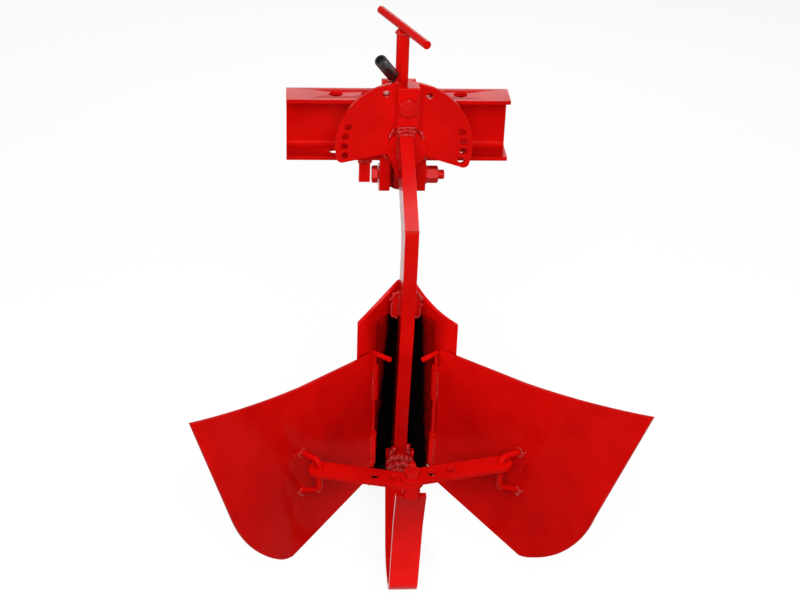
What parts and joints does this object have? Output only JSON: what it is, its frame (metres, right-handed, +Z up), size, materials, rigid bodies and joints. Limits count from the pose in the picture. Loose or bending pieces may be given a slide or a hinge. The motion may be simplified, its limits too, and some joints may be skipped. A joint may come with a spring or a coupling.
{
  "type": "ridger",
  "caption": "Ridging body for a two-wheel tractor: toolbar, pitching yoke, swivelling sector, gooseneck shank and two folding wings.",
  "frame": {"origin": "top face of the toolbar channel, midway between its two outer bolt holes", "axes": "+Z up, +Y the way it is pulled, +X to the right seen from behind"},
  "size_m": [0.4845, 0.4736, 0.6523],
  "materials": {
    "red_paint": "gloss enamel over rolled steel",
    "black_paint": "satin black over steel",
    "zinc_steel": "zinc plated, lightly worn",
    "black_plastic": "moulded grip"
  },
  "bodies": {
    "hitch": {"toolbar_channel": "red_paint", "mouth_plate": "red_paint", "hitch_tongue": "red_paint", "side_lug": "red_paint", "pitch_bolt": "red_paint", "pitch_nut": "red_paint"},
    "yoke": {"cheek_left": "red_paint", "cheek_right": "red_paint", "yoke_plate": "red_paint", "hub_pin": "red_paint", "screw_bridge": "red_paint", "tee_screw": "red_paint", "tee_bar": "red_paint", "plunger_pin": "zinc_steel", "plunger_lever": "black_paint", "lever_grip": "black_plastic"},
    "ridging_body": {"sector_plate": "red_paint", "arm_block": "red_paint", "clamp_bolt": "red_paint", "hub_ring": "red_paint", "shank": "red_paint", "breast_left": "red_paint", "breast_right": "red_paint", "frog_left": "black_paint", "frog_right": "black_paint", "gusset_left": "red_paint", "gusset_right": "red_paint", "upper_hinge_lug_left": "red_paint", "upper_hinge_lug_right": "red_paint", "lower_hinge_lug_left": "red_paint", "lower_hinge_lug_right": "red_paint", "hinge_pin_left": "red_paint", "hinge_pin_right": "red_paint", "share_left": "black_paint", "share_right": "black_paint", "heel_skid": "red_paint", "strap_boss": "red_paint", "centre_nut": "red_paint"},
    "left_wing": {"wing_left": "red_paint", "hinge_barrels_left": "red_paint", "staple_left": "red_paint"},
    "right_wing": {"wing_right": "red_paint", "hinge_barrels_right": "red_paint", "staple_right": "red_paint"},
    "left_strap": {"strap_left": "red_paint"},
    "right_strap": {"strap_right": "red_paint"}
  },
  "joints": [
    {"name": "yoke_pitch", "type": "hinge", "parent": "hitch", "child": "yoke", "pos_m": [0.0049, -0.0175, -0.0996], "axis": [1, 0, 0], "range_deg": [-3, 12]},
    {"name": "sector_swivel", "type": "hinge", "parent": "yoke", "child": "ridging_body", "pos_m": [0.0049, -0.0595, -0.044], "axis": [0, 1, 0], "range_deg": [-42, 81]},
    {"name": "left_wing_fold", "type": "hinge", "parent": "ridging_body", "child": "left_wing", "pos_m": [-0.0326, -0.2015, -0.334], "axis": [0, 0, 1], "range_deg": [0, 17]},
    {"name": "right_wing_fold", "type": "hinge", "parent": "ridging_body", "child": "right_wing", "pos_m": [0.0424, -0.2015, -0.334], "axis": [0, 0, -1], "range_deg": [0, 17]},
    {"name": "left_strap_swing", "type": "hinge", "parent": "left_wing", "child": "left_strap", "pos_m": [-0.09955, -0.32515, -0.327], "axis": [0, 0, 1], "range_deg": [-13.1, 0]},
    {"name": "right_strap_swing", "type": "hinge", "parent": "right_wing", "child": "right_strap", "pos_m": [0.10935, -0.32515, -0.322], "axis": [0, 0, -1], "range_deg": [-13.1, 0]}
  ],
  "couplings": [
    {"joint": "left_strap_swing", "follows": "left_wing_fold", "ratio": -0.765},
    {"joint": "right_strap_swing", "follows": "right_wing_fold", "ratio": -0.765}
  ]
}
